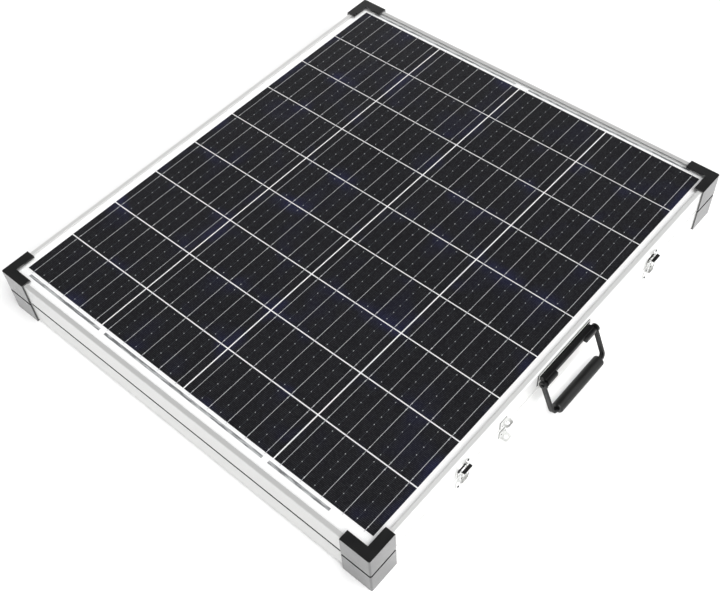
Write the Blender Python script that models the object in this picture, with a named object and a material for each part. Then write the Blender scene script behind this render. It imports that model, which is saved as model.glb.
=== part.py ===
"""Folding solar panel in a closed suitcase pose: two framed glass modules laid back to back.

Millimetres in the comments, metres in the code.  X runs along the long side, -Y is the side
with the handle and latches, +Y the hinged side, and +Z is up.  The origin lies on the ground,
under the centre of the bounding box.
"""
import math

import bmesh
import bpy
from mathutils import Matrix, Vector

for old in list(bpy.data.objects):
    bpy.data.objects.remove(old, do_unlink=True)

# Case
CASE_Y = 0.015           # the frames' centre line in Y, so that the box is centred on the origin
HALF_X = 0.390           # half of the frame's length
HALF_Y = 0.340           # half of the frame's width
CASE_H = 0.080           # overall height of the closed case
HALF_GAP = 0.0022        # half of the slot between the two frames
TOUCH = 0.0003           # gap kept between pieces that rest on each other

# Frame extrusion, measured inwards from its outer face and up the upper half
FRAME_TOP = 0.0778
FRAME_LOW = CASE_H / 2 + HALF_GAP
WALL = 0.0016
LIP = 0.0070
LIP_T = 0.0010
SHELF = 0.0090
SHELF_T = 0.0012
FOOT_FLANGE = 0.0220
MITRE_GAP = 0.0002

# Laminate
GLASS_TOP = FRAME_TOP - LIP_T - TOUCH
GLASS_T = 0.0032
CELL_T = 0.0008
BACK_T = 0.0006
EDGE_IN = 0.0030

# Corner guards
GUARD_OUT = 0.0025       # how far the guard stands outside the frame
GUARD_ARM = 0.0440       # arm length from the frame's corner
GUARD_IN = 0.0125        # how far its top reaches in over the glass

# Fold hinge
HINGE_Y = 0.3440
HINGE_Z = CASE_H / 2
HINGE_X = 0.250
KNUCKLE_R = 0.0036
PIN_R = 0.0015

# Carry handle
HANDLE_PIVOT = (-0.3495, 0.0605)
HANDLE_LEAN = math.radians(22.5)
BAIL_OUT = 0.0614
BAIL_T = 0.0035
BAIL_W = 0.0065
BAIL_LEN = 0.0511
GRIP_R = 0.0083
GRIP_HALF = 0.0500
BASE_HALF = 0.0545

# Draw latches.  The pivots are (distance proud of the front face, height)
LATCH_X = 0.216
LEVER_PIVOT = (0.0050, 0.0490)
CLAW_PIVOT = (0.0038, 0.0540)
CLAW_WIRE = 0.0010
CLAW_X = 0.0094
CLAW_END = 0.0062
CLAW_ROD_Z = 0.0280
CLAW_BEND = 0.0020

# Padlock eyes
EYE_X = -0.132
EYE_OUT = 0.0115

# Stand legs
LEG_PIVOT_X = 0.205
LEG_PIVOT_Z = 0.0520
LEG_LEN = 0.400
LEG_Y = 0.135
LEG_T = 0.006
LEG_H = 0.012
BRACE_X = (0.222, 0.242)


def material(name, rgb, roughness, metallic):
    mat = bpy.data.materials.new(name)
    mat.use_nodes = True
    shader = mat.node_tree.nodes["Principled BSDF"]
    shader.inputs["Base Color"].default_value = (*rgb, 1.0)
    shader.inputs["Roughness"].default_value = roughness
    shader.inputs["Metallic"].default_value = metallic
    mat.diffuse_color = (*rgb, 1.0)
    return mat


ALU = material("anodised_aluminium", (0.78, 0.79, 0.80), 0.35, 1.0)
BLACK = material("black_plastic", (0.020, 0.020, 0.022), 0.45, 0.0)
STEEL = material("bright_steel", (0.72, 0.72, 0.73), 0.15, 1.0)
PAINT = material("black_coated_steel", (0.025, 0.025, 0.027), 0.40, 0.3)
RUBBER = material("black_rubber", (0.028, 0.028, 0.030), 0.65, 0.0)
GLASS = material("glass", (0.90, 0.93, 0.93), 0.05, 0.0)
CELLS = material("cells", (0.012, 0.012, 0.020), 0.30, 0.0)
SHEET = material("white_backsheet", (0.85, 0.85, 0.85), 0.50, 0.0)


# Solid builders.  Each one returns an object whose mesh is still in world coordinates.
def finish(name, bm, mat):
    bmesh.ops.remove_doubles(bm, verts=bm.verts, dist=1e-7)
    bmesh.ops.recalc_face_normals(bm, faces=bm.faces)
    mesh = bpy.data.meshes.new(name)
    bm.to_mesh(mesh)
    bm.free()
    mesh.materials.append(mat)
    obj = bpy.data.objects.new(name, mesh)
    bpy.context.scene.collection.objects.link(obj)
    return obj


def lift(axis, a, b, along):
    """Point of a cross-section (a, b) at the given place along its axis."""
    if axis == "x":
        return (along, a, b)
    if axis == "y":
        return (a, along, b)
    return (a, b, along)


def prism(name, outline, axis, lo, hi, mat):
    """Straight extrusion.  lo and hi are numbers, or functions of (a, b) for cut ends."""
    bm = bmesh.new()
    rings = []
    for end in (lo, hi):
        ring = []
        for a, b in outline:
            along = end(a, b) if callable(end) else end
            ring.append(bm.verts.new(lift(axis, a, b, along)))
        rings.append(ring)
    count = len(outline)
    for i in range(count):
        j = (i + 1) % count
        bm.faces.new((rings[0][i], rings[0][j], rings[1][j], rings[1][i]))
    bm.faces.new(rings[0])
    bm.faces.new(rings[1])
    return finish(name, bm, mat)


def block(name, x, y, z, mat):
    outline = [(x[0], y[0]), (x[1], y[0]), (x[1], y[1]), (x[0], y[1])]
    return prism(name, outline, "z", z[0], z[1], mat)


def circle(centre, radius, count):
    points = []
    for i in range(count):
        turn = 2 * math.pi * (i + 0.5) / count
        points.append((centre[0] + radius * math.cos(turn), centre[1] + radius * math.sin(turn)))
    return points


def rod(name, centre, radius, axis, lo, hi, mat, count=24):
    return prism(name, circle(centre, radius, count), axis, lo, hi, mat)


def rounded(a0, a1, b0, b1, radius, steps=4):
    """Rectangle with round corners, anticlockwise."""
    corners = (
        (a1 - radius, b0 + radius, -90),
        (a1 - radius, b1 - radius, 0),
        (a0 + radius, b1 - radius, 90),
        (a0 + radius, b0 + radius, 180),
    )
    points = []
    for ca, cb, start in corners:
        for i in range(steps + 1):
            turn = math.radians(start + 90 * i / steps)
            points.append((ca + radius * math.cos(turn), cb + radius * math.sin(turn)))
    return points


def combine(base, tools, operation):
    """Boolean the tools into base, bake the result and drop the tools."""
    for tool in tools:
        mod = base.modifiers.new(operation, "BOOLEAN")
        mod.operation = operation
        mod.solver = "EXACT"
        mod.object = tool
    bake(base)
    for tool in tools:
        bpy.data.objects.remove(tool, do_unlink=True)
    return base


def bake(obj):
    bpy.context.view_layer.update()
    graph = bpy.context.evaluated_depsgraph_get()
    mesh = bpy.data.meshes.new_from_object(obj.evaluated_get(graph), depsgraph=graph)
    obj.modifiers.clear()
    obj.data = mesh
    mesh.name = obj.name
    return obj


def soften(obj, width, angle=40, segments=2):
    mod = obj.modifiers.new("edge", "BEVEL")
    mod.width = width
    mod.segments = segments
    mod.limit_method = "ANGLE"
    mod.angle_limit = math.radians(angle)
    mod.use_clamp_overlap = True
    return bake(obj)


def pivot(name, place, parent=None):
    """Empty on a joint's axis."""
    empty = bpy.data.objects.new(name, None)
    empty.empty_display_size = 0.02
    bpy.context.scene.collection.objects.link(empty)
    start = Vector(parent["world"]) if parent else Vector((0, 0, 0))
    empty.parent = parent
    empty.location = Vector(place) - start
    empty["world"] = tuple(place)
    return empty


def attach(obj, empty):
    """Move the object's origin to the empty and parent it there, leaving its shape in place."""
    world = Vector(empty["world"])
    obj.data.transform(Matrix.Translation(-world))
    obj.parent = empty
    for poly in obj.data.polygons:
        poly.use_smooth = True
    obj.data.set_sharp_from_angle(angle=math.radians(32))
    return obj


# Joint axes
SHIFT = Matrix.Translation((0, CASE_Y, 0))
FLIP = Matrix.Translation((0, CASE_Y, CASE_H)) @ Matrix.Rotation(math.pi, 4, "X")
FRONT = CASE_Y - HALF_Y
REAR = CASE_Y + HINGE_Y

ground = pivot("ground", (0, 0, 0))
fold = pivot("case_fold_axis", (0, REAR, HINGE_Z), ground)
swing = pivot("handle_axis", (0, CASE_Y + HANDLE_PIVOT[0], HANDLE_PIVOT[1]), fold)
HALVES = {"upper": (SHIFT, fold), "lower": (FLIP, ground)}


def put(obj, side):
    """Place a piece, modelled as one of the upper half, in the upper or the lower half."""
    matrix, empty = HALVES[side]
    obj.data.transform(matrix)
    return attach(obj, empty)


# Module frame: one open extrusion with a glass lip, a shelf and a foot flange, cut at 45 degrees.
# Its outer edges are rounded off
EDGE = 0.0014
SHELF_TOP = GLASS_TOP - GLASS_T - CELL_T - BACK_T - 3 * TOUCH
PROFILE = [
    (0.0, FRAME_LOW + 0.5 * EDGE),
    (0.5 * EDGE, FRAME_LOW),
    (FOOT_FLANGE, FRAME_LOW),
    (FOOT_FLANGE, FRAME_LOW + WALL),
    (WALL, FRAME_LOW + WALL),
    (WALL, SHELF_TOP - SHELF_T),
    (SHELF, SHELF_TOP - SHELF_T),
    (SHELF, SHELF_TOP),
    (WALL, SHELF_TOP),
    (WALL, FRAME_TOP - LIP_T),
    (LIP, FRAME_TOP - LIP_T),
    (LIP, FRAME_TOP),
    (EDGE, FRAME_TOP),
    (0.3 * EDGE, FRAME_TOP - 0.3 * EDGE),
    (0.0, FRAME_TOP - EDGE),
]


def long_rail(name, sign):
    outline = [(sign * (HALF_Y - a), z) for a, z in PROFILE]
    cut = HALF_X - HALF_Y - MITRE_GAP
    return prism(name, outline, "x", lambda y, z: -abs(y) - cut, lambda y, z: abs(y) + cut, ALU)


def end_rail(name, sign):
    outline = [(sign * (HALF_X - a), z) for a, z in PROFILE]
    cut = HALF_Y - HALF_X - MITRE_GAP
    return prism(name, outline, "y", lambda x, z: -abs(x) - cut, lambda x, z: abs(x) + cut, ALU)


def guard(name, sx, sy):
    """Moulded corner: side walls round the frame's corner and a top plate over the lip."""
    def plan(outer, inner, steps=4):
        reach = GUARD_ARM
        points = [(-outer, reach), (inner, reach), (inner, inner), (reach, inner), (reach, -outer)]
        for i in range(steps + 1):
            turn = math.radians(-90 - 90 * i / steps)
            points.append((outer * math.cos(turn), outer * math.sin(turn)))
        return [(sx * (-HALF_X + a), sy * (-HALF_Y + b)) for a, b in points]

    walls = prism(name, plan(GUARD_OUT, -TOUCH), "z", FRAME_LOW, FRAME_TOP + 0.0012, BLACK)
    top = prism("top", plan(GUARD_OUT, GUARD_IN), "z", FRAME_TOP + TOUCH, CASE_H, BLACK)
    step_in = [
        (LIP + TOUCH, GUARD_ARM),
        (GUARD_IN, GUARD_ARM),
        (GUARD_IN, GUARD_IN),
        (GUARD_ARM, GUARD_IN),
        (GUARD_ARM, LIP + TOUCH),
        (LIP + TOUCH, LIP + TOUCH),
    ]
    step_in = [(sx * (-HALF_X + a), sy * (-HALF_Y + b)) for a, b in step_in]
    skirt = prism("skirt", step_in, "z", GLASS_TOP + TOUCH, FRAME_TOP + 0.0012, BLACK)
    return soften(combine(walls, [top, skirt], "UNION"), 0.0006)


def junction_box(name):
    """Box on the back of the laminate, with two short cable glands and an open bottom."""
    body = block(name, (0.262, 0.342), (-0.055, 0.055), (0.0520, SHELF_TOP), BLACK)
    room = block("room", (0.265, 0.339), (-0.052, 0.052), (0.0500, SHELF_TOP - 0.003), BLACK)
    glands = []
    for sign in (-1, 1):
        ends = sorted((sign * 0.054, sign * 0.069))
        glands.append(rod("gland", (0.302, 0.0610), 0.0060, "y", ends[0], ends[1], BLACK, 20))
    body = combine(body, glands, "UNION")
    bores = []
    for sign in (-1, 1):
        ends = sorted((sign * 0.045, sign * 0.080))
        bores.append(rod("bore", (0.302, 0.0610), 0.0032, "y", ends[0], ends[1], BLACK, 20))
    return combine(body, [room] + bores, "DIFFERENCE")


def brace(name):
    """Cross bar between the long rails, with two lugs and the pins the stand leg turns on."""
    rail_in = HALF_Y - WALL - TOUCH
    bar_low = FRAME_LOW + WALL + TOUCH
    body = block(name, BRACE_X, (-rail_in, rail_in), (bar_low, bar_low + 0.0120), ALU)
    adds = []
    for sign in (-1, 1):
        inner = LEG_Y + LEG_T / 2 + TOUCH
        ends = sorted((sign * inner, sign * (inner + 0.004)))
        eye = rounded(0.197, BRACE_X[0] + 0.002, LEG_PIVOT_Z - 0.0070, LEG_PIVOT_Z + 0.0030, 0.0028)
        adds.append(prism("lug", eye, "y", ends[0], ends[1], ALU))
        ends = sorted((sign * (LEG_Y - LEG_T / 2 - 0.002), sign * (inner + 0.002)))
        adds.append(rod("pin", (LEG_PIVOT_X, LEG_PIVOT_Z), 0.0025, "y", ends[0], ends[1], ALU))
    return combine(body, adds, "UNION")


def leg_arm(name, sign):
    ends = sorted((sign * (LEG_Y - LEG_T / 2), sign * (LEG_Y + LEG_T / 2)))
    span = (LEG_PIVOT_X - LEG_LEN, LEG_PIVOT_X + LEG_H / 2)
    low, high = LEG_PIVOT_Z - LEG_H / 2, LEG_PIVOT_Z + LEG_H / 2
    body = prism(name, rounded(*span, low, high, 0.0055, 6), "y", ends[0], ends[1], ALU)
    eye = rod("eye", (LEG_PIVOT_X, LEG_PIVOT_Z), 0.00256, "y", -0.2, 0.2, ALU)
    return combine(body, [eye], "DIFFERENCE")


def leg_bar(name):
    half = LEG_Y - LEG_T / 2 - TOUCH
    centre = (LEG_PIVOT_X - LEG_LEN + 0.010, LEG_PIVOT_Z)
    return rod(name, centre, 0.0055, "y", -half, half, ALU)


for side in ("upper", "lower"):
    # The lower module is the upper one turned over about X, so front and rear swap
    front, rear = ("front", "rear") if side == "upper" else ("rear", "front")
    put(long_rail(f"{side}_rail_{front}", -1), side)
    put(long_rail(f"{side}_rail_{rear}", 1), side)
    put(end_rail(f"{side}_rail_left", -1), side)
    put(end_rail(f"{side}_rail_right", 1), side)
    put(guard(f"{side}_guard_{front}_left", 1, 1), side)
    put(guard(f"{side}_guard_{front}_right", -1, 1), side)
    put(guard(f"{side}_guard_{rear}_left", 1, -1), side)
    put(guard(f"{side}_guard_{rear}_right", -1, -1), side)

    wide = (-HALF_X + EDGE_IN, HALF_X - EDGE_IN)
    deep = (-HALF_Y + EDGE_IN, HALF_Y - EDGE_IN)
    level = GLASS_TOP
    for layer, thick, mat in (("glass", GLASS_T, GLASS), ("cells", CELL_T, CELLS),
                              ("backsheet", BACK_T, SHEET)):
        put(block(f"{side}_{layer}", wide, deep, (level - thick, level), mat), side)
        level -= thick + TOUCH

    put(junction_box(f"{side}_junction_box"), side)
    lid = block(f"{side}_junction_lid", (0.262, 0.342), (-0.055, 0.055), (0.0490, 0.0517), BLACK)
    put(soften(lid, 0.0010), side)
    put(brace(f"{side}_brace"), side)

    matrix, empty = HALVES[side]
    leg_axis = pivot(f"{side}_leg_axis", matrix @ Vector((LEG_PIVOT_X, 0, LEG_PIVOT_Z)), empty)
    for piece in (leg_arm(f"{side}_leg_arm_{front}", -1), leg_arm(f"{side}_leg_arm_{rear}", 1),
                  leg_bar(f"{side}_leg_bar")):
        piece.data.transform(matrix)
        attach(piece, leg_axis)

# Rubber pads that keep the halves apart, one by each corner
for x_name, sx in (("left", -1), ("right", 1)):
    for y_name, sy in (("front", -1), ("rear", 1)):
        x_span = sorted((sx * 0.345, sx * 0.384))
        y_span = sorted((CASE_Y + sy * 0.323, CASE_Y + sy * 0.336))
        low = CASE_H - FRAME_LOW + TOUCH
        attach(block(f"pad_{y_name}_{x_name}", x_span, y_span, (low, FRAME_LOW - 0.0002), RUBBER),
               ground)

# Fold hinges on the rear faces: two knuckles and the pin below, one knuckle above
for x_name, sx in (("left", -1), ("right", 1)):
    mid = sx * HINGE_X
    leaf_y = (CASE_Y + HALF_Y + TOUCH, CASE_Y + HALF_Y + TOUCH + 0.0015)
    for side, spans, z_leaf, z_tab in (
        ("upper", ((-0.0087, 0.0087),), (0.0440, 0.0620), (HINGE_Z, 0.0450)),
        ("lower", ((-0.0250, -0.0090), (0.0090, 0.0250)), (0.0180, 0.0360), (0.0350, HINGE_Z)),
    ):
        leaf = block(f"{side}_hinge_leaf_{x_name}", (mid - 0.025, mid + 0.025), leaf_y, z_leaf, STEEL)
        adds = []
        for lo, hi in spans:
            tab_y = (leaf_y[0] + 0.0002, REAR - 0.0004)
            adds.append(block("tab", (mid + lo, mid + hi), tab_y, z_tab, STEEL))
            adds.append(rod("knuckle", (REAR, HINGE_Z), KNUCKLE_R, "x", mid + lo, mid + hi, STEEL))
        leaf = combine(leaf, adds, "UNION")
        bore = rod("bore", (REAR, HINGE_Z), PIN_R + 0.00006, "x", mid - 0.03, mid + 0.03, STEEL)
        combine(leaf, [bore], "DIFFERENCE")
        attach(leaf, fold if side == "upper" else ground)
    attach(rod(f"hinge_pin_{x_name}", (REAR, HINGE_Z), PIN_R, "x", mid - 0.0258, mid + 0.0258, STEEL),
           ground)


def face(u, z):
    """(y, z) of a point standing u proud of the front face."""
    return (FRONT - u, z)


# Carry handle: plate and base bar on the upper front rail, with a stub pin at each end
attach(block("handle_plate", (-0.058, 0.058), (FRONT - 0.0018, FRONT - TOUCH), (0.0490, 0.0716),
             ALU), fold)
PIVOT_YZ = (CASE_Y + HANDLE_PIVOT[0], HANDLE_PIVOT[1])
bar = rounded(FRONT - 0.0100, FRONT - 0.0021, 0.0592, 0.0678, 0.0015)
base = prism("handle_base", bar, "x", -BASE_HALF, BASE_HALF, PAINT)
ears = []
for sx in (-1, 1):
    ear = rounded(PIVOT_YZ[0] - 0.0050, FRONT - 0.0021, 0.0560, 0.0668, 0.0030)
    ends = sorted((sx * 0.0340, sx * BASE_HALF))
    ears.append(prism("ear", ear, "x", ends[0], ends[1], PAINT))
    ends = sorted((sx * 0.0500, sx * 0.0632))
    ears.append(rod("stub", PIVOT_YZ, 0.0025, "x", ends[0], ends[1], PAINT))
attach(combine(base, ears, "UNION"), fold)

# Bail: flat bar bent to a U, with round eyes on the stub pins.  Modelled in its own plane
# (X across, Z down the arms), then leant out about the pivot.
def bail_outline(out, length, corner, steps=6):
    points = [(-out, 0.0)]
    for cx, start in ((-out + corner, 180), (out - corner, 270)):
        for i in range(steps + 1):
            turn = math.radians(start + 90 * i / steps)
            points.append((cx + corner * math.cos(turn), -length + corner + corner * math.sin(turn)))
    points.append((out, 0.0))
    return points


outer = bail_outline(BAIL_OUT, BAIL_LEN + BAIL_T / 2, 0.0085)
inner = bail_outline(BAIL_OUT - BAIL_T, BAIL_LEN - BAIL_T / 2, 0.0050)
bail = prism("handle_bail", outer + inner[::-1], "y", -BAIL_W / 2, BAIL_W / 2, PAINT)
eyes = []
for sx in (-1, 1):
    ends = sorted((sx * (BAIL_OUT - BAIL_T), sx * BAIL_OUT))
    eyes.append(rod("eye", (0, 0), 0.0062, "x", ends[0], ends[1], PAINT))
bail = combine(bail, eyes, "UNION")
bail = combine(bail, [rod("hole", (0, 0), 0.00256, "x", -0.1, 0.1, PAINT)], "DIFFERENCE")

# Grip: thick rubber sleeve round the bail's cross bar
grip = rod("handle_grip", (0, -BAIL_LEN), GRIP_R, "x", -GRIP_HALF, GRIP_HALF, RUBBER, 28)
grip = soften(grip, 0.0018, 60)
slot = block("slot", (-0.06, 0.06), (-BAIL_W / 2 - TOUCH, BAIL_W / 2 + TOUCH),
             (-BAIL_LEN - BAIL_T / 2 - TOUCH, -BAIL_LEN + BAIL_T / 2 + TOUCH), RUBBER)
grip = combine(grip, [slot], "DIFFERENCE")
LEAN = Matrix.Translation((0, *PIVOT_YZ)) @ Matrix.Rotation(-HANDLE_LEAN, 4, "X")
for piece in (bail, grip):
    piece.data.transform(LEAN)
    attach(piece, swing)

def arc(centre, radius, start, end, steps):
    """Points along an arc, angles in degrees."""
    points = []
    for i in range(steps + 1):
        turn = math.radians(start + (end - start) * i / steps)
        points.append((centre[0] + radius * math.cos(turn), centre[1] + radius * math.sin(turn)))
    return points


def bent_wire(name, path, y, radius, mat, sides=12):
    """Round wire along a path of (x, z) points, all at one y."""
    bm = bmesh.new()
    rings = []
    for i, (x, z) in enumerate(path):
        before, after = path[max(i - 1, 0)], path[min(i + 1, len(path) - 1)]
        along = Vector((after[0] - before[0], 0, after[1] - before[1])).normalized()
        across = Vector((along.z, 0, -along.x))
        ring = []
        for k in range(sides):
            turn = 2 * math.pi * (k + 0.5) / sides
            offset = across * math.cos(turn) + Vector((0, 1, 0)) * math.sin(turn)
            ring.append(bm.verts.new(Vector((x, y, z)) + radius * offset))
        rings.append(ring)
    for a, b in zip(rings, rings[1:]):
        for k in range(sides):
            m = (k + 1) % sides
            bm.faces.new((a[k], a[m], b[m], b[k]))
    bm.faces.new(rings[0])
    bm.faces.new(rings[-1])
    return finish(name, bm, mat)


# Draw latches: base and lever on the upper half, wire claw between, catch on the lower half
for x_name, sx in (("left", -1), ("right", 1)):
    mid = sx * LATCH_X
    outline = [(mid - 0.0155, 0.0450), (mid + 0.0155, 0.0450)]
    outline += arc((mid + 0.0025, 0.0522), 0.0130, 0, 90, 6)
    outline += arc((mid - 0.0025, 0.0522), 0.0130, 90, 180, 6)
    plate = prism(f"latch_base_{x_name}", outline, "y", FRONT - 0.0015, FRONT - TOUCH, STEEL)
    walls = []
    for s in (-1, 1):
        wall = [face(0.0005, LEVER_PIVOT[1] + 0.0024), face(0.0005, LEVER_PIVOT[1] - 0.0024)]
        wall += [face(u, z) for u, z in arc(LEVER_PIVOT, 0.0024, -90, 90, 8)]
        ends = sorted((mid + s * 0.0046, mid + s * 0.0058))
        walls.append(prism("wall", wall, "x", ends[0], ends[1], STEEL))
    plate = combine(plate, walls, "UNION")
    bore = rod("bore", face(*LEVER_PIVOT), 0.00116, "x", mid - 0.008, mid + 0.008, STEEL)
    attach(combine(plate, [bore], "DIFFERENCE"), fold)

    # The lever straddles the base's two walls: cheeks, a cover above the pivots and a flat lip
    place = (mid, *face(*LEVER_PIVOT))
    lever_axis = pivot(f"latch_lever_axis_{x_name}", place, fold)
    cover = [(0.0069, 0.0516), (0.0082, 0.0516), (0.0082, 0.0566), (0.0090, 0.0566),
             (0.0090, 0.0580), (0.0046, 0.0580), (0.0046, 0.0566), (0.0069, 0.0566)]
    cover = [face(u, z) for u, z in cover]
    lever = prism(f"latch_lever_{x_name}", cover, "x", mid - 0.0076, mid + 0.0076, STEEL)
    cheek = [(0.0082, 0.0518), (0.0082, 0.0572), (0.0021, 0.0572), (0.0021, 0.0508)]
    cheek = [face(u, z) for u, z in cheek + arc(LEVER_PIVOT, 0.0026, 180, 330, 10)]
    adds = []
    for s in (-1, 1):
        ends = sorted((mid + s * 0.0062, mid + s * 0.0074))
        adds.append(prism("cheek", cheek, "x", ends[0], ends[1], STEEL))
        ends = sorted((mid + s * 0.0044, mid + s * 0.0070))
        adds.append(rod("stub", face(*LEVER_PIVOT), 0.0011, "x", ends[0], ends[1], STEEL))
    lever = combine(lever, adds, "UNION")
    bore = rod("bore", face(*CLAW_PIVOT), CLAW_WIRE + 0.00006, "x", mid - 0.012, mid + 0.012, STEEL)
    attach(combine(lever, [bore], "DIFFERENCE"), lever_axis)

    # The claw is one bent wire: two inward ends in the lever's cheeks, two arms and a cross rod
    place = (mid, *face(*CLAW_PIVOT))
    claw_axis = pivot(f"latch_claw_axis_{x_name}", place, lever_axis)
    near = CLAW_X - CLAW_BEND
    half = [(CLAW_END, CLAW_PIVOT[1])]
    half += arc((near, CLAW_PIVOT[1] - CLAW_BEND), CLAW_BEND, 90, 0, 5)
    half += arc((near, CLAW_ROD_Z + CLAW_BEND), CLAW_BEND, 0, -90, 5)
    path = [(mid + x, z) for x, z in half] + [(mid - x, z) for x, z in reversed(half)]
    claw = bent_wire(f"latch_claw_{x_name}", path, FRONT - CLAW_PIVOT[0], CLAW_WIRE, STEEL)
    attach(claw, claw_axis)

    keeper = prism(f"latch_catch_{x_name}", rounded(mid - 0.0130, mid + 0.0130, 0.0140, 0.0330, 0.004),
                   "y", FRONT - 0.0015, FRONT - TOUCH, STEEL)
    tongue = block("tongue", (mid - 0.0075, mid + 0.0075), (FRONT - 0.0065, FRONT - 0.0010),
                   (0.0294, 0.0310), STEEL)
    attach(combine(keeper, [tongue], "UNION"), ground)

# Padlock eyes: an angle bracket on each half, bent outwards at the end away from the slot
for side, z_plate, z_tab, empty in (("upper", (0.0446, 0.0578), (0.0562, 0.0578), fold),
                                    ("lower", (0.0222, 0.0354), (0.0222, 0.0238), ground)):
    eye = block(f"{side}_padlock_eye", (EYE_X - 0.0070, EYE_X + 0.0070),
                (FRONT - 0.0018, FRONT - TOUCH), z_plate, STEEL)
    tab = rounded(EYE_X - 0.0070, EYE_X + 0.0070, FRONT - EYE_OUT, FRONT - TOUCH, 0.0034)
    tab = [(x, y) for x, y in tab if y < FRONT - 0.005]
    tab += [(EYE_X - 0.0070, FRONT - TOUCH), (EYE_X + 0.0070, FRONT - TOUCH)]
    tab.sort(key=lambda p: math.atan2(p[1] - FRONT + 0.005, p[0] - EYE_X))
    eye = combine(eye, [prism("tab", tab, "z", z_tab[0], z_tab[1], STEEL)], "UNION")
    hole = rod("hole", (EYE_X, FRONT - EYE_OUT + 0.0052), 0.0030, "z", z_tab[0] - 0.01,
               z_tab[1] + 0.01, STEEL)
    attach(combine(eye, [hole], "DIFFERENCE"), empty)
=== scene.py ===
import math

import bmesh
import bpy
from mathutils import Matrix, Vector


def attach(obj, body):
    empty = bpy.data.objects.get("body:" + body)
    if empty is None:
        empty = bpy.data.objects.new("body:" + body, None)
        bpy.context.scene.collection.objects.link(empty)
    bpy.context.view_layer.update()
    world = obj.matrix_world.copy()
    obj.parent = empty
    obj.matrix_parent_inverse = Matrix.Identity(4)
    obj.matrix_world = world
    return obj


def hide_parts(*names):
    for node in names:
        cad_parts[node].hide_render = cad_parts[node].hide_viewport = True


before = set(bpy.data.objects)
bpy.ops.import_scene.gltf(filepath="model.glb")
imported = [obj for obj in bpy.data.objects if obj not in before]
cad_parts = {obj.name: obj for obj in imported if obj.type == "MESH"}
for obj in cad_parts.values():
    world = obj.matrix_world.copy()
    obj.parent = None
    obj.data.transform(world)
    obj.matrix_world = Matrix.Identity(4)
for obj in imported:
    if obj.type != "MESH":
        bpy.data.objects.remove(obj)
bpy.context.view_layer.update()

# ---------------------------------------------------------------------------------------------
# Camera: a slightly long lens, high over the near left corner of the case, so that the whole
# case fills the frame and its front and left sides both show.

camera = bpy.data.objects.new("camera", bpy.data.cameras.new("camera"))
bpy.context.scene.collection.objects.link(camera)
bpy.context.scene.camera = camera
camera.data.sensor_width = 36.0
camera.data.lens = 53.11
camera.data.clip_start = 0.05
camera.data.clip_end = 60.0
camera_side = Vector((0.65548, -0.75382, -0.04582)).normalized()
camera_look = Vector((0.44309, 0.43300, -0.78497)).normalized()
camera_up = camera_side.cross(camera_look).normalized()
camera_turn = Matrix((camera_side, camera_up, -camera_look)).transposed()
camera.matrix_world = Matrix.Translation((-0.74735, -0.69070, 1.20970)) @ camera_turn.to_4x4()


# ---------------------------------------------------------------------------------------------
# Floor: a plain white studio board, matte, with the faintest unevenness in its tone so that it
# takes a soft contact shadow.

def linear(code):
    """sRGB hex to a linear colour."""
    channels = []
    for i in (1, 3, 5):
        value = int(code[i:i + 2], 16) / 255
        channels.append(value / 12.92 if value <= 0.04045 else ((value + 0.055) / 1.055) ** 2.4)
    return (*channels, 1.0)


def add(tree, kind, inputs=None, **settings):
    """Add a node, set its properties, and fill or link its inputs."""
    node = tree.nodes.new(kind)
    for key, value in settings.items():
        setattr(node, key, value)
    for socket, value in (inputs or {}).items():
        if isinstance(value, bpy.types.NodeSocket):
            tree.links.new(value, node.inputs[socket])
        else:
            node.inputs[socket].default_value = value
    return node


def finish(name, colour, roughness, metallic=0.0):
    """A new material: its tree, its Principled shader and the piece's own coordinates."""
    mat = bpy.data.materials.new(name)
    mat.use_nodes = True
    tree = mat.node_tree
    shader = tree.nodes["Principled BSDF"]
    shader.inputs["Base Color"].default_value = linear(colour)
    shader.inputs["Roughness"].default_value = roughness
    shader.inputs["Metallic"].default_value = metallic
    place = add(tree, "ShaderNodeTexCoord").outputs["Object"]
    return mat, tree, shader, place


def slab(name, low, high, mat, bevel=0.0):
    """A box between two corners, its edges rounded if a bevel is given."""
    bm = bmesh.new()
    bmesh.ops.create_cube(bm, size=1.0)
    size = Vector(high) - Vector(low)
    bmesh.ops.scale(bm, vec=size, verts=bm.verts)
    bmesh.ops.translate(bm, vec=Vector(low) + size / 2, verts=bm.verts)
    if bevel:
        bmesh.ops.bevel(bm, geom=bm.edges[:], offset=bevel, segments=3, profile=0.5,
                        affect="EDGES")
    mesh = bpy.data.meshes.new(name)
    bm.to_mesh(mesh)
    bm.free()
    mesh.materials.append(mat)
    obj = bpy.data.objects.new(name, mesh)
    bpy.context.scene.collection.objects.link(obj)
    return obj


board, tree, shader, place = finish("studio_board", "#f7f7f7", 0.9)
mottle = add(tree, "ShaderNodeTexNoise", {"Vector": place, "Scale": 1.2, "Detail": 3.0})
board_tone = add(tree, "ShaderNodeMix", {"Factor": mottle.outputs["Fac"],
                                         6: linear("#f4f4f4"), 7: linear("#fafafa")},
                 data_type="RGBA")
tree.links.new(board_tone.outputs[2], shader.inputs["Base Color"])
FLOOR_REACH = 14.0
floor = slab("floor", (-FLOOR_REACH, -FLOOR_REACH, -0.02), (FLOOR_REACH, FLOOR_REACH, 0.0),
             board)

# ---------------------------------------------------------------------------------------------
# Light: one broad soft source behind the camera, and a room that is white round the horizon and
# dim overhead.  Side faces then mirror white, and glass seen from above stays dark.

bpy.context.scene.view_settings.view_transform = "Standard"

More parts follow.
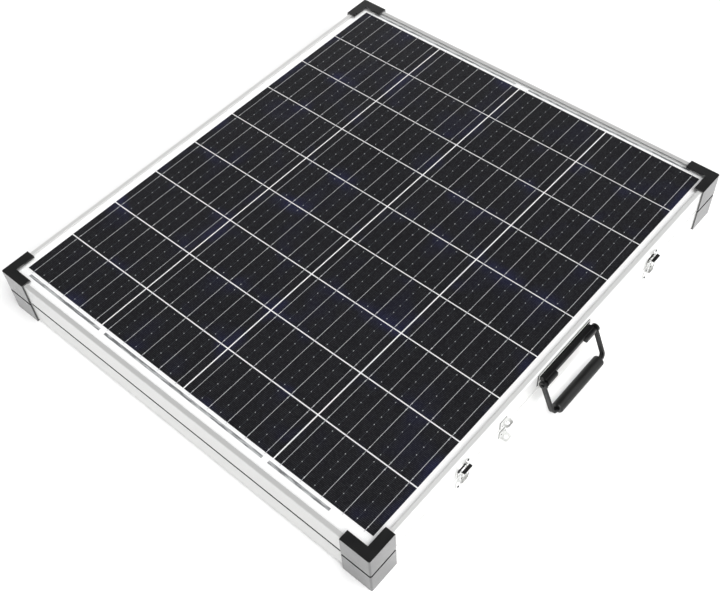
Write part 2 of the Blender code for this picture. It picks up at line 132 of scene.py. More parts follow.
ROOM_OVERHEAD = 0.05                 # strength straight up; 1.0 at the horizon
KEY_POWER = 3.75
KEY_SPREAD = math.radians(60)        # as wide as a large softbox a few metres off
world = bpy.data.worlds.new("room")
bpy.context.scene.world = world
world.use_nodes = True
tree = world.node_tree
heading = add(tree, "ShaderNodeSeparateXYZ", {
    "Vector": add(tree, "ShaderNodeTexCoord").outputs["Generated"]})
walls = add(tree, "ShaderNodeMapRange", {"Value": heading.outputs["Z"], "From Min": 0.30,
                                         "From Max": 0.66, "To Min": 1.0,
                                         "To Max": ROOM_OVERHEAD},
            interpolation_type="SMOOTHSTEP")
tree.links.new(walls.outputs[0], tree.nodes["Background"].inputs["Strength"])
tree.nodes["Background"].inputs["Color"].default_value = linear("#ffffff")

lamp = bpy.data.objects.new("soft_key", bpy.data.lights.new("soft_key", "SUN"))
bpy.context.scene.collection.objects.link(lamp)
lamp.data.energy = KEY_POWER
lamp.data.angle = KEY_SPREAD
lamp_from = Vector((-0.12, -0.50, 0.80))
lamp.rotation_mode = "QUATERNION"
lamp.rotation_quaternion = (-lamp_from).to_track_quat("-Z", "Y")

# ---------------------------------------------------------------------------------------------
# Laminate: clear rolled solar glass over silicon cells on a white backing film, pressed into one
# sheet.  The cells are half-cut wafers, nine along the panel and four across.

CASE_Y = 0.015                       # middle of the case in Y
CASE_H = 0.080                       # height of the shut case
# Each piece is made once for the upper half.  The lower half is the same, turned upside down
HALVES = {
    "upper": Matrix.Translation((0, CASE_Y, 0)),
    "lower": Matrix.Translation((0, CASE_Y, CASE_H)) @ Matrix.Rotation(math.pi, 4, "X"),
}

FIELD = (0.0056, 0.0006)             # middle of the cell field on its panel
CELL = (0.0798, 0.1596)
CELL_PITCH = (0.08186, 0.16170)
CELL_COUNT = (9, 4)
BUS_PITCH = 0.01696
CELL_TOP = 0.0730
FILM_MIDDLE = 0.0716
FINGER_PITCH = 0.0022
FINGER_SHARE = 0.26                  # of each pitch that is silver


def dress(mat, *names):
    """Give CAD nodes a material."""
    for name in names:
        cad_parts[name].data.materials[0] = mat


def both(stem):
    """The names of one piece in the upper and the lower half."""
    return [f"upper_{stem}", f"lower_{stem}"]


# Rolled low-iron glass: its top has a fine orange-peel texture that keeps reflections soft
glass = bpy.data.materials.new("rolled_solar_glass")
glass.use_nodes = True
tree = glass.node_tree
tree.nodes.remove(tree.nodes["Principled BSDF"])
place = add(tree, "ShaderNodeTexCoord").outputs["Object"]
peel = add(tree, "ShaderNodeTexNoise", {"Vector": place, "Scale": 900.0, "Detail": 1.0})
relief = add(tree, "ShaderNodeBump", {"Height": peel.outputs["Fac"], "Strength": 0.02,
                                      "Distance": 0.0003}).outputs["Normal"]
clear = add(tree, "ShaderNodeBsdfTransparent", {"Color": linear("#ffffff")})
gloss = add(tree, "ShaderNodeBsdfAnisotropic", {"Color": linear("#ffffff"), "Roughness": 0.12,
                                                "Normal": relief})
mirror = add(tree, "ShaderNodeFresnel", {"IOR": 1.40, "Normal": relief})
seen = add(tree, "ShaderNodeNewGeometry").outputs["Backfacing"]
outside = add(tree, "ShaderNodeMath", {0: 1.0, 1: seen}, operation="SUBTRACT")
share = add(tree, "ShaderNodeMath", {0: mirror.outputs["Fac"], 1: outside.outputs[0]},
            operation="MULTIPLY")
pane = add(tree, "ShaderNodeMixShader", {0: share.outputs[0], 1: clear.outputs["BSDF"],
                                         2: gloss.outputs["BSDF"]})
tree.links.new(pane.outputs["Shader"], tree.nodes["Material Output"].inputs["Surface"])
dress(glass, *both("glass"))


def cell_grid(tree, place):
    """Where a point lies among the cells: its distance from a cell's rim, and the cell's number."""
    split = add(tree, "ShaderNodeSeparateXYZ", {"Vector": place})
    rims, numbers = [], []
    for i, axis in enumerate("XY"):
        middle = FIELD[i] + (0.0, CASE_Y)[i]
        start = middle - CELL_PITCH[i] * CELL_COUNT[i] / 2
        shift = add(tree, "ShaderNodeMath", {0: split.outputs[axis], 1: start},
                    operation="SUBTRACT")
        turns = add(tree, "ShaderNodeMath", {0: shift.outputs[0], 1: CELL_PITCH[i]},
                    operation="DIVIDE")
        whole = add(tree, "ShaderNodeMath", {0: turns.outputs[0]}, operation="FLOOR")
        part = add(tree, "ShaderNodeMath", {0: turns.outputs[0]}, operation="FRACT")
        mirrored = add(tree, "ShaderNodeMath", {0: 1.0, 1: part.outputs[0]},
                       operation="SUBTRACT")
        inside = add(tree, "ShaderNodeMath", {0: part.outputs[0], 1: mirrored.outputs[0]},
                     operation="MINIMUM")
        rim = add(tree, "ShaderNodeMath", {0: inside.outputs[0], 1: CELL_PITCH[i]},
                  operation="MULTIPLY")
        rims.append(rim.outputs[0])
        numbers.append(whole.outputs[0])
    from_rim = add(tree, "ShaderNodeMath", {0: rims[0], 1: rims[1]}, operation="MINIMUM")
    number = add(tree, "ShaderNodeCombineXYZ", {"X": numbers[0], "Y": numbers[1]})
    return from_rim.outputs[0], number.outputs[0], split.outputs


# White backing film: matte polyester.  From behind, the cells show through it as faint grey
# panes, because only there does no light reach it from the front
film, tree, shader, place = finish("white_backing_film", "#f4f5f4", 0.55)
from_rim, _, along = cell_grid(tree, place)
cloud = add(tree, "ShaderNodeTexNoise", {"Vector": place, "Scale": 30.0, "Detail": 4.0})
front_tone = add(tree, "ShaderNodeMix", {"Factor": cloud.outputs["Fac"], 6: linear("#f1f1f1"),
                                         7: linear("#fafafa")}, data_type="RGBA")
pane_mask = add(tree, "ShaderNodeMapRange", {"Value": from_rim, "From Min": 0.0008,
                                             "From Max": 0.0018})
back_tone = add(tree, "ShaderNodeMix", {"Factor": pane_mask.outputs[0], 6: linear("#dcdddc"),
                                        7: linear("#c3c5c8")}, data_type="RGBA")
from_slot = add(tree, "ShaderNodeMath", {0: along["Z"], 1: CASE_H / 2}, operation="SUBTRACT")
depth = add(tree, "ShaderNodeMath", {0: from_slot.outputs[0]}, operation="ABSOLUTE")
on_back = add(tree, "ShaderNodeMath", {0: depth.outputs[0], 1: FILM_MIDDLE - CASE_H / 2},
              operation="LESS_THAN")
both_sides = add(tree, "ShaderNodeMix", {"Factor": on_back.outputs[0], 6: front_tone.outputs[2],
                                         7: back_tone.outputs[2]}, data_type="RGBA")
tree.links.new(both_sides.outputs[2], shader.inputs["Base Color"])
dress(film, *both("backsheet"))

# Monocrystalline silicon under its dark blue-black coating.  Silver fingers cross each cell, and
# its coating turns bluer in places towards the rim.  Real fingers are 1.3 mm apart and hair thin:
# they are drawn wider apart, so that they still show as a fine grain
silicon, tree, shader, place = finish("coated_silicon", "#090a0d", 0.30)
shader.inputs["Specular IOR Level"].default_value = 0.35
from_rim, cell_number, along = cell_grid(tree, place)
drift = add(tree, "ShaderNodeTexNoise", {"Vector": place, "Scale": 14.0, "Detail": 2.0})
blue = add(tree, "ShaderNodeMapRange", {"Value": from_rim, "From Min": 0.0005,
                                        "From Max": 0.022, "To Min": 1.0, "To Max": 0.25},
           interpolation_type="SMOOTHSTEP")
blotch = add(tree, "ShaderNodeMapRange", {"Value": drift.outputs["Fac"], "From Min": 0.52,
                                          "From Max": 0.68})
patchy = add(tree, "ShaderNodeMath", {0: blue.outputs[0], 1: blotch.outputs[0]},
             operation="MULTIPLY")
coat = add(tree, "ShaderNodeMix", {"Factor": patchy.outputs[0], 6: linear("#0a090d"),
                                   7: linear("#131430")}, data_type="RGBA")
luck = add(tree, "ShaderNodeTexWhiteNoise", {"Vector": cell_number}, noise_dimensions="3D")
shade = add(tree, "ShaderNodeMapRange", {"Value": luck.outputs["Value"], "To Min": 0.84,
                                         "To Max": 1.16})
toned = add(tree, "ShaderNodeVectorMath", {0: coat.outputs[2], "Scale": shade.outputs[0]},
            operation="SCALE")
finger_turns = add(tree, "ShaderNodeMath", {0: along["X"], 1: FINGER_PITCH},
                   operation="DIVIDE")
finger_part = add(tree, "ShaderNodeMath", {0: finger_turns.outputs[0]}, operation="FRACT")
finger = add(tree, "ShaderNodeMath", {0: finger_part.outputs[0], 1: FINGER_SHARE},
             operation="LESS_THAN")
etch = add(tree, "ShaderNodeTexNoise", {"Vector": place, "Scale": 420.0, "Detail": 1.0})
etched = add(tree, "ShaderNodeMapRange", {"Value": etch.outputs["Fac"], "From Min": 0.35,
                                          "From Max": 0.65, "To Min": 0.03, "To Max": 0.22})
finger_weight = add(tree, "ShaderNodeMath", {0: finger.outputs[0], 1: etched.outputs[0]},
                    operation="MULTIPLY")
printed = add(tree, "ShaderNodeMix", {"Factor": finger_weight.outputs[0], 6: toned.outputs[0],
                                      7: linear("#8d9096")}, data_type="RGBA")
tree.links.new(printed.outputs[2], shader.inputs["Base Color"])

# Tinned copper ribbon: soft, slightly wavy solder that catches the light in patches
ribbon, tree, shader, place = finish("tinned_ribbon", "#c9ccd0", 0.34, 0.35)
solder = add(tree, "ShaderNodeTexNoise", {"Vector": place, "Scale": 420.0, "Detail": 2.0})
solder_rough = add(tree, "ShaderNodeMapRange", {"Value": solder.outputs["Fac"], "To Min": 0.24,
                                                "To Max": 0.50})
tree.links.new(solder_rough.outputs[0], shader.inputs["Roughness"])
solder_tone = add(tree, "ShaderNodeMix", {"Factor": solder.outputs["Fac"],
                                          6: linear("#b4b6b8"), 7: linear("#e6e8ea")},
                  data_type="RGBA")
tree.links.new(solder_tone.outputs[2], shader.inputs["Base Color"])

# Silver print on the wafer, duller than the ribbons
print_silver, tree, shader, place = finish("printed_silver", "#5c5f66", 0.45, 0.3)
grain = add(tree, "ShaderNodeTexNoise", {"Vector": place, "Scale": 700.0, "Detail": 2.0})
grain_tone = add(tree, "ShaderNodeMix", {"Factor": grain.outputs["Fac"], 6: linear("#3c3e45"),
                                         7: linear("#6d7078")}, data_type="RGBA")
tree.links.new(grain_tone.outputs[2], shader.inputs["Base Color"])


def array_tree():
    """Geometry Nodes: boxes of one size in a small grid, and that grid repeated in a larger one."""
    group = bpy.data.node_groups.new("box_array", "GeometryNodeTree")
    group.interface.new_socket("Geometry", in_out="INPUT", socket_type="NodeSocketGeometry")
    group.interface.new_socket("Geometry", in_out="OUTPUT", socket_type="NodeSocketGeometry")
    for label, kind in (("Box", "Vector"), ("Inner Columns", "Int"), ("Inner Rows", "Int"),
                        ("Inner Pitch", "Vector"), ("Outer Columns", "Int"),
                        ("Outer Rows", "Int"), ("Outer Pitch", "Vector"), ("Middle", "Vector"),
                        ("Finish", "Material")):
        group.interface.new_socket(label, in_out="INPUT", socket_type=f"NodeSocket{kind}")
    given = add(group, "NodeGroupInput").outputs
    shape = add(group, "GeometryNodeMeshCube", {"Size": given["Box"]}).outputs["Mesh"]
    for ring in ("Inner", "Outer"):
        step = add(group, "ShaderNodeSeparateXYZ", {0: given[f"{ring} Pitch"]})
        lengths = []
        for axis, count in (("X", "Columns"), ("Y", "Rows")):
            gaps = add(group, "ShaderNodeMath", {0: given[f"{ring} {count}"], 1: 1.0},
                       operation="SUBTRACT")
            length = add(group, "ShaderNodeMath", {0: gaps.outputs[0], 1: step.outputs[axis]},
                         operation="MULTIPLY")
            lengths.append(length.outputs[0])
        points = add(group, "GeometryNodeMeshGrid", {
            "Size X": lengths[0], "Size Y": lengths[1],
            "Vertices X": given[f"{ring} Columns"], "Vertices Y": given[f"{ring} Rows"]})
        shape = add(group, "GeometryNodeInstanceOnPoints", {
            "Points": points.outputs["Mesh"], "Instance": shape}).outputs["Instances"]
    placed = add(group, "GeometryNodeTransform", {"Geometry": shape,
                                                  "Translation": given["Middle"]})
    real = add(group, "GeometryNodeRealizeInstances", {0: placed.outputs[0]})
    coated = add(group, "GeometryNodeSetMaterial", {"Geometry": real.outputs[0],
                                                    "Material": given["Finish"]})
    add(group, "NodeGroupOutput", {0: coated.outputs[0]})
    return group


def grow(name, group, values, points=()):
    """Run a Geometry Nodes tree on some points and keep the result as a plain mesh."""
    mesh = bpy.data.meshes.new(name)
    mesh.from_pydata([tuple(p) for p in points], [], [])
    obj = bpy.data.objects.new(name, mesh)
    bpy.context.scene.collection.objects.link(obj)
    modifier = obj.modifiers.new("grow", "NODES")
    modifier.node_group = group
    for item in group.interface.items_tree:
        if item.in_out == "INPUT" and item.name in values:
            modifier[item.identifier] = values[item.name]
    graph = bpy.context.evaluated_depsgraph_get()
    made = bpy.data.meshes.new_from_object(obj.evaluated_get(graph), depsgraph=graph)
    obj.modifiers.clear()
    obj.data = made
    made.name = name
    return obj


box_array = array_tree()
cell_row = {"Outer Columns": CELL_COUNT[0], "Outer Rows": CELL_COUNT[1],
            "Outer Pitch": (*CELL_PITCH, 0.0)}
long_row = {"Outer Columns": 1, "Outer Rows": CELL_COUNT[1],
            "Outer Pitch": (0.0, CELL_PITCH[1], 0.0)}
field_length = CELL_PITCH[0] * (CELL_COUNT[0] - 1) + CELL[0]
RIBBON_STEP = 2 * BUS_PITCH          # ribbons and printed lines take turns across a cell
DOT_STEP = 0.01387
layers = (
    # name, box, inner columns and rows, inner pitch, outer grid, height of its middle, finish
    ("cell_wafers", (*CELL, 0.0004), 1, 1, (0.0, 0.0, 0.0), cell_row, -0.0002, silicon),
    ("cell_ribbons", (field_length + 0.006, 0.0006, 0.00012), 1, 5, (0.0, RIBBON_STEP, 0.0),
     long_row, 0.00006, ribbon),
    ("cell_print_lines", (CELL[0] - 0.003, 0.00025, 0.00003), 1, 4, (0.0, RIBBON_STEP, 0.0),
     cell_row, 0.00001, print_silver),
    ("cell_print_dots", (0.0014, 0.0010, 0.00006), 6, 4, (DOT_STEP, RIBBON_STEP, 0.0),
     cell_row, 0.00003, ribbon),
    ("cell_ribbon_ends", (0.0022, 0.0014, 0.00008), 2, 5, (CELL[0] - 0.010, RIBBON_STEP, 0.0),
     cell_row, 0.00004, ribbon),
)
for half, matrix in HALVES.items():
    made = []
    for stem, size, columns, rows, pitch, outer, rise, mat in layers:
        values = {"Box": size, "Inner Columns": columns, "Inner Rows": rows, "Inner Pitch": pitch,
                  "Middle": (FIELD[0], FIELD[1], CELL_TOP + rise), "Finish": mat, **outer}
        piece = grow(f"{half}_{stem}", box_array, values)
        piece.data.transform(matrix)
        made.append(piece)
    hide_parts(f"{half}_cells")
    for piece in made:
        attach(piece, f"{half}_half")

# Collector ribbons: wider tinned strips in the white margins at both ends of the cell strings.
# Their hot-dip solder dries in lighter and darker dashes along the strip
collector, tree, shader, place = finish("dipped_collector_ribbon", "#a9abac", 0.4, 0.3)
long_dash = add(tree, "ShaderNodeMapping", {"Vector": place, "Scale": (500.0, 60.0, 60.0)})
dash = add(tree, "ShaderNodeTexNoise", {"Vector": long_dash.outputs[0], "Scale": 1.0,
                                        "Detail": 3.0})
dash_edge = add(tree, "ShaderNodeMapRange", {"Value": dash.outputs["Fac"], "From Min": 0.42,
                                             "From Max": 0.58})
dash_tone = add(tree, "ShaderNodeMix", {"Factor": dash_edge.outputs[0], 6: linear("#7c7e80"),
                                        7: linear("#c4c6c7")}, data_type="RGBA")
tree.links.new(dash_tone.outputs[2], shader.inputs["Base Color"])
LEFT_STRIP = (-0.3710, -0.3668)      # each strip from one X to the other
RIGHT_STRIP = (0.3782, 0.3815)
STRIP_Z = (0.07215, 0.07240)
strips = ((LEFT_STRIP, (0.1593, 0.3106)), (LEFT_STRIP, (-0.1486, 0.1487)),
          (LEFT_STRIP, (-0.2603, -0.1588)), (RIGHT_STRIP, (0.0126, 0.3087)),
          (RIGHT_STRIP, (-0.3011, -0.0126)))
for half, matrix in HALVES.items():
    for number, (x, y) in enumerate(strips):
        strip = slab(f"{half}_collector_{number}", (x[0], y[0], STRIP_Z[0]),
                     (x[1], y[1], STRIP_Z[1]), collector)
        strip.data.transform(matrix)
        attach(strip, f"{half}_half")

# ---------------------------------------------------------------------------------------------
# Module frames: extruded aluminium, clear anodised.  The die leaves fine lines along each rail,
# and the anodising scatters the light into a soft satin.

RIB_PITCH = 0.0019                   # shallow drawn lines on the outer wall


def anodised(name, along, colour, roughness):
    """Satin anodised extrusion, with die lines running along X or Y and shallow ribs."""
    mat, tree, shader, place = finish(name, colour, roughness, 0.5)
    stretch = {"X": (2.0, 900.0, 900.0), "Y": (900.0, 2.0, 900.0)}[along]
    turned = add(tree, "ShaderNodeMapping", {"Vector": place, "Scale": stretch})
    lines = add(tree, "ShaderNodeTexNoise", {"Vector": turned.outputs[0], "Scale": 1.0,
                                             "Detail": 2.0})
    rough = add(tree, "ShaderNodeMapRange", {"Value": lines.outputs["Fac"],
                                             "To Min": roughness - 0.06,
                                             "To Max": roughness + 0.10})
    tree.links.new(rough.outputs[0], shader.inputs["Roughness"])
    cloud = add(tree, "ShaderNodeTexNoise", {"Vector": place, "Scale": 9.0, "Detail": 3.0})
    tone = add(tree, "ShaderNodeMapRange", {"Value": cloud.outputs["Fac"], "To Min": 0.94,
                                            "To Max": 1.03})
    # Ribs: each groove is painted up to a tenth darker as painted shade; the same ramp also shapes
    # the bump
    height = add(tree, "ShaderNodeSeparateXYZ", {"Vector": place}).outputs["Z"]
    turns = add(tree, "ShaderNodeMath", {0: height, 1: RIB_PITCH}, operation="DIVIDE")
    rib = add(tree, "ShaderNodeMath", {0: turns.outputs[0], 1: 0.5}, operation="PINGPONG")
    groove_shade_and_relief = add(tree, "ShaderNodeMapRange", {"Value": rib.outputs[0], "From Min": 0.0,
                                              "From Max": 0.16, "To Min": 0.90, "To Max": 1.0})
    shade = add(tree, "ShaderNodeMath", {0: tone.outputs[0], 1: groove_shade_and_relief.outputs[0]},
                operation="MULTIPLY")
    toned = add(tree, "ShaderNodeVectorMath", {0: linear(colour)[:3], "Scale": shade.outputs[0]},
                operation="SCALE")
    tree.links.new(toned.outputs[0], shader.inputs["Base Color"])
    relief = add(tree, "ShaderNodeMath", {0: lines.outputs["Fac"], 1: groove_shade_and_relief.outputs[0]},
                 operation="MULTIPLY")
    bump = add(tree, "ShaderNodeBump", {"Height": relief.outputs[0], "Strength": 0.12,
                                        "Distance": 0.0002})
    tree.links.new(bump.outputs["Normal"], shader.inputs["Normal"])
    return mat


# The same extrusion in two tones, as painted light: the long rails painted lighter, the end rails
# darker
rail_long_painted_lighter = anodised("anodised_rail_long", "X", "#efefee", 0.45)
rail_end_painted_darker = anodised("anodised_rail_end", "Y", "#dadad9", 0.45)
dress(rail_long_painted_lighter, *both("rail_front"), *both("rail_rear"))
dress(rail_end_painted_darker, *both("rail_left"), *both("rail_right"))

# ---------------------------------------------------------------------------------------------
# Corner guards: injection-moulded black polypropylene, pushed over the frame's corners.  The
# mould's spark-eroded grain and its slight skin give dark faces that still mirror the room softly.

def moulded(name, colour, roughness, grain_mm=0.5, bump=0.25):
    """Black moulded plastic with a grain."""
    mat, tree, shader, place = finish(name, colour, roughness)
    grain = add(tree, "ShaderNodeTexNoise", {"Vector": place, "Scale": 1000.0 / grain_mm,
                                             "Detail": 2.0})
    cloud = add(tree, "ShaderNodeTexNoise", {"Vector": place, "Scale": 40.0, "Detail": 3.0})
    rough = add(tree, "ShaderNodeMapRange", {"Value": cloud.outputs["Fac"],
                                             "To Min": roughness - 0.08,
                                             "To Max": roughness + 0.10})
    tree.links.new(rough.outputs[0], shader.inputs["Roughness"])
    dark = linear(colour)
    pale = [min(1.0, 1.5 * v + 0.002) for v in dark[:3]] + [1.0]
    mixed = add(tree, "ShaderNodeMix", {"Factor": cloud.outputs["Fac"], 6: dark, 7: pale},
                data_type="RGBA")
    tree.links.new(mixed.outputs[2], shader.inputs["Base Color"])
    relief = add(tree, "ShaderNodeBump", {"Height": grain.outputs["Fac"], "Strength": bump,
                                          "Distance": 0.0002})
    tree.links.new(relief.outputs["Normal"], shader.inputs["Normal"])
    return mat, shader


guard_plastic, shader = moulded("grained_polypropylene", "#040405", 0.30, 0.6, 0.12)
shader.inputs["Specular IOR Level"].default_value = 1.0
shader.inputs["Coat Weight"].default_value = 0.8
shader.inputs["Coat Roughness"].default_value = 0.20
shader.inputs["Coat IOR"].default_value = 1.5
for corner in ("front_left", "front_right", "rear_left", "rear_right"):
    dress(guard_plastic, *both(f"guard_{corner}"))

# The junction boxes behind each module are a duller, coarser black plastic
box_plastic, shader = moulded("junction_box_plastic", "#141415", 0.5, 0.8)
dress(box_plastic, *both("junction_box"), *both("junction_lid"))

# ---------------------------------------------------------------------------------------------
# Carry handle: a bent steel bail on a pressed base, both powder coated black, with a rubber
# sleeve for the hand.  The coat has a soft shine and a faint peel; the rubber is a little duller.

coated, shader = moulded("black_powder_coat", "#070708", 0.34, 0.9, 0.12)
shader.inputs["Specular IOR Level"].default_value = 0.3
dress(coated, "handle_bail", "handle_base")
sleeve, shader = moulded("moulded_rubber_sleeve", "#0a0a0a", 0.40, 0.4, 0.2)
shader.inputs["Specular IOR Level"].default_value = 0.4
dress(sleeve, "handle_grip")

# ---------------------------------------------------------------------------------------------
# Draw latches, padlock eyes and hinges: pressed steel, bright nickel plated, riveted to the
# rails.  The plating mirrors the room, with a faint polishing haze.

def plated(name, colour, roughness, dark="#d4d5d4", pale="#f0f0ee"):
    """Bright plated steel with faint polishing haze."""
    mat, tree, shader, place = finish(name, colour, roughness, 1.0)
    haze = add(tree, "ShaderNodeTexNoise", {"Vector": place, "Scale": 160.0, "Detail": 4.0})
    rough = add(tree, "ShaderNodeMapRange", {"Value": haze.outputs["Fac"],
                                             "To Min": roughness - 0.05,
                                             "To Max": roughness + 0.09})
    tree.links.new(rough.outputs[0], shader.inputs["Roughness"])
    tint = add(tree, "ShaderNodeMix", {"Factor": haze.outputs["Fac"], 6: linear(dark),
                                       7: linear(pale)}, data_type="RGBA")
    tree.links.new(tint.outputs[2], shader.inputs["Base Color"])
    return mat


nickel = plated("bright_nickel", "#e6e6e4", 0.14)
for side in ("left", "right"):
    dress(nickel, f"latch_base_{side}", f"latch_lever_{side}", f"latch_catch_{side}",
          f"hinge_pin_{side}", *both(f"hinge_leaf_{side}"))
dress(nickel, "handle_plate")
# The claws are drawn spring wire, the smoothest and most mirror-like metal here
wire_steel = plated("polished_spring_wire", "#d4d5d6", 0.08, "#c2c3c4", "#e2e2e1")
dress(wire_steel, "latch_claw_left", "latch_claw_right")
# The padlock eyes are tumbled before plating, so they shine softly instead of mirroring
satin = plated("satin_nickel", "#dededc", 0.28)
satin.node_tree.nodes["Principled BSDF"].inputs["Metallic"].default_value = 0.8
dress(satin, *both("padlock_eye"))

FRONT = -0.325                       # outer face of the front rails
LATCH_X = 0.216

# A black tab on each lever's lip is a painted reflection of the dark room overhead
painted_dark, shader = moulded("painted_shade_and_reflection_black", "#050505", 0.45, 0.6, 0.15)
shader.inputs["Specular IOR Level"].default_value = 0.25
for side, middle in (("left", -LATCH_X), ("right", LATCH_X)):
    reflection_tab = slab(f"latch_tab_{side}", (middle - 0.0079, FRONT - 0.0094, 0.0561),
               (middle + 0.0079, FRONT - 0.0048, 0.0585), painted_dark, 0.0005)
    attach(reflection_tab, f"latch_lever_{side}")

# A black strip under the claw is painted shadow, marking the shaded gap at the base plate
for side, middle in (("left", -LATCH_X), ("right", LATCH_X)):
    gap_shadow_strip = slab(f"latch_liner_{side}", (middle - 0.0118, FRONT - 0.0025, 0.0572),
                 (middle + 0.0045, FRONT - 0.0015, 0.0586), painted_dark, 0.0002)
    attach(gap_shadow_strip, "upper_half")

# Thin black slabs behind the handle plate and padlock eyes are painted shadow, as dark outlines
for half, low, high in (("upper", 0.0440, 0.0584), ("lower", 0.0216, 0.0360)):
    edge_shadow_strip = slab(f"{half}_padlock_eye_washer", (-0.1396, FRONT - 0.0003, low),
                  (-0.1244, FRONT, high), painted_dark)
    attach(edge_shadow_strip, f"{half}_half")
plate_edge_shadow = slab("handle_gasket", (-0.0595, FRONT - 0.0003, 0.0482), (0.0595, FRONT, 0.0726), painted_dark)
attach(plate_edge_shadow, "upper_half")


# Rivets: domed heads with a dimple, closed from the front of each fitting.  A pan-head screw is
# the same dome with a cross recess in place of the dimple
def head_tree(name, recessed):
    """Geometry Nodes: one domed head, sized in millimetres, on every point and facing outwards."""
    group = bpy.data.node_groups.new(name, "GeometryNodeTree")
    group.interface.new_socket("Geometry", in_out="INPUT", socket_type="NodeSocketGeometry")
    group.interface.new_socket("Geometry", in_out="OUTPUT", socket_type="NodeSocketGeometry")
    for label, kind in (("Radius", "Float"), ("Dome", "Float"), ("Recess", "Float"),
                        ("Turn", "Rotation"), ("Finish", "Material")):
        group.interface.new_socket(label, in_out="INPUT", socket_type=f"NodeSocket{kind}")
    given = add(group, "NodeGroupInput").outputs
    ball = add(group, "GeometryNodeMeshUVSphere", {"Segments": 20, "Rings": 10,
                                                   "Radius": given["Radius"]})
    flat = add(group, "ShaderNodeCombineXYZ", {"X": 1.0, "Y": 1.0, "Z": given["Dome"]})
    dome = add(group, "GeometryNodeTransform", {"Geometry": ball.outputs["Mesh"],
                                                "Scale": flat.outputs[0]})
    top = add(group, "ShaderNodeMath", {0: given["Radius"], 1: given["Dome"]},
              operation="MULTIPLY")
    above = add(group, "ShaderNodeCombineXYZ", {"Z": top.outputs[0]})
    cutters = []
    if recessed:
        for share in ((1.0, 0.22, 0.40), (0.23, 0.97, 0.44)):
            size = add(group, "ShaderNodeVectorMath", {0: share, "Scale": given["Recess"]},
                       operation="SCALE")
            cutters.append(add(group, "GeometryNodeMeshCube", {"Size": size.outputs[0]}))
    else:
        cutters.append(add(group, "GeometryNodeMeshUVSphere", {"Segments": 12, "Rings": 6,
                                                               "Radius": given["Recess"]}))
    head = dome.outputs[0]
    for cutter in cutters:
        put = add(group, "GeometryNodeTransform", {"Geometry": cutter.outputs["Mesh"],
                                                   "Translation": above.outputs[0]})
        head = add(group, "GeometryNodeMeshBoolean", {"Mesh 1": head, "Mesh 2": put.outputs[0]},
                   operation="DIFFERENCE").outputs["Mesh"]
    heads = add(group, "GeometryNodeInstanceOnPoints", {"Points": given["Geometry"],
                                                        "Instance": head,
                                                        "Rotation": given["Turn"],
                                                        "Scale": (0.001, 0.001, 0.001)})
    real = add(group, "GeometryNodeRealizeInstances", {0: heads.outputs[0]})
    coated = add(group, "GeometryNodeSetMaterial", {"Geometry": real.outputs[0],
                                                    "Material": given["Finish"]})
    add(group, "NodeGroupOutput", {0: coated.outputs[0]})
    return group


rivet_heads = head_tree("rivet_heads", False)
screw_heads = head_tree("screw_heads", True)
FACING = {"front": (math.pi / 2, 0.0, 0.0), "rear": (-math.pi / 2, 0.0, 0.0),
          "up": (0.0, 0.0, 0.0), "down": (math.pi, 0.0, 0.0)}


def fasten(name, body, tree, points, facing, radius, recess, mat):
    """A set of rivet or screw heads on one body, their radius and recess in millimetres."""
    values = {"Radius": radius, "Dome": 0.5, "Recess": recess, "Turn": FACING[facing],
              "Finish": mat}
    heads = grow(name, tree, values, points)
    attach(heads, body)


# Blackened steel: dark, with just enough metal in it to catch a highlight
black_steel = plated("blackened_steel_rivet", "#3a3b3d", 0.34, "#1c1d1e", "#4a4b4d")
for side, middle in (("left", -LATCH_X), ("right", LATCH_X)):
    fasten(f"latch_base_rivets_{side}", "upper_half", rivet_heads,
           [(middle + dx, FRONT - 0.0015, 0.0605) for dx in (-0.0095, 0.0095)],
           "front", 1.8, 0.6, black_steel)
    fasten(f"latch_catch_rivets_{side}", "lower_half", rivet_heads,
           [(middle + dx, FRONT - 0.0015, 0.0190) for dx in (-0.0092, 0.0092)],
           "front", 1.8, 0.6, black_steel)
for half, z in (("upper", 0.0500), ("lower", 0.0300)):
    fasten(f"{half}_padlock_eye_rivets", f"{half}_half", rivet_heads,
           [(-0.132 + dx, FRONT - 0.0015, z) for dx in (-0.0042, 0.0042)],
           "front", 1.4, 0.5, black_steel)
fasten("handle_rivets", "upper_half", rivet_heads,
       [(x, FRONT - 0.0018, 0.0525) for x in (-0.040, -0.014, 0.014, 0.040)],
       "front", 2.0, 0.7, black_steel)
for half, z in (("upper", 0.0555), ("lower", 0.0245)):
    fasten(f"{half}_hinge_rivets", f"{half}_half", rivet_heads,
           [(x + dx, 0.3568, z) for x in (-0.250, 0.250) for dx in (-0.017, 0.0, 0.017)],
           "rear", 2.2, 0.8, black_steel)
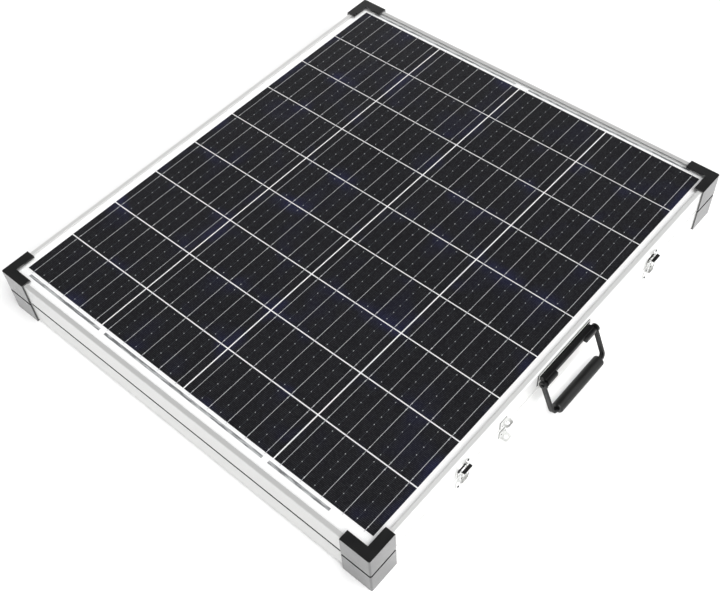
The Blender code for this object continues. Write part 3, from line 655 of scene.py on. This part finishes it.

# ---------------------------------------------------------------------------------------------
# Inside: pads and painted-shade strips in the slot between the halves, and behind each module the
# junction box and the folding leg with its cross brace.  Pads are matte moulded rubber, glued to
# the frame.

pad_rubber, shader = moulded("pad_rubber", "#151515", 0.7, 0.7, 0.3)
for end in ("front", "rear"):
    for side in ("left", "right"):
        dress(pad_rubber, f"pad_{end}_{side}")

# Black strips along the short sides darken the slot between the halves: painted shade, standing
# in for the shadow that falls in the slot.  Matte and slightly pitted
slot_shade_black, shader = moulded("painted_slot_shadow", "#0b0b0b", 0.9, 1.2, 0.5)
shader.inputs["Specular IOR Level"].default_value = 0.2
SLOT_SHADE_Y = (-0.2780, 0.3080)
for half, z in (("upper", (0.0402, 0.0422)), ("lower", (0.0378, 0.0398))):
    for side, x in (("left", (-0.3899, -0.3845)), ("right", (0.3845, 0.3899))):
        strip = slab(f"{half}_foam_{side}", (x[0], SLOT_SHADE_Y[0], z[0]), (x[1], SLOT_SHADE_Y[1], z[1]),
                     slot_shade_black, 0.0004)
        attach(strip, f"{half}_half")

# Leg ends: black caps pushed over the sawn ends of the stand arms
CAP_Y = (0.1313, 0.1387)
for half, matrix in HALVES.items():
    for end, sign in (("front", -1), ("rear", 1)):
        low, high = sorted((sign * CAP_Y[0], sign * CAP_Y[1]))
        cap = slab(f"{half}_leg_cap_{end}", (-0.1975, low, 0.0452), (-0.1915, high, 0.0588),
                   box_plastic, 0.0012)
        cap.data.transform(matrix)
        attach(cap, f"{half}_leg")

# Lid screws: cross-recessed pan heads at the corners of each junction box
for half, matrix in HALVES.items():
    corners = [matrix @ Vector((x, y, 0.0490)) for x in (0.268, 0.336) for y in (-0.034, 0.064)]
    fasten(f"{half}_lid_screws", f"{half}_half", screw_heads, corners,
           {"upper": "down", "lower": "up"}[half], 2.8, 3.4, black_steel)

# Leg arms and cross bars: square anodised tube, its lines running with each tube
leg_alu = anodised("anodised_leg", "X", "#dcdddd", 0.40)
cross_alu = anodised("anodised_cross_bar", "Y", "#dcdddd", 0.40)
dress(leg_alu, *both("leg_arm_front"), *both("leg_arm_rear"))
dress(cross_alu, *both("leg_bar"), *both("brace"))
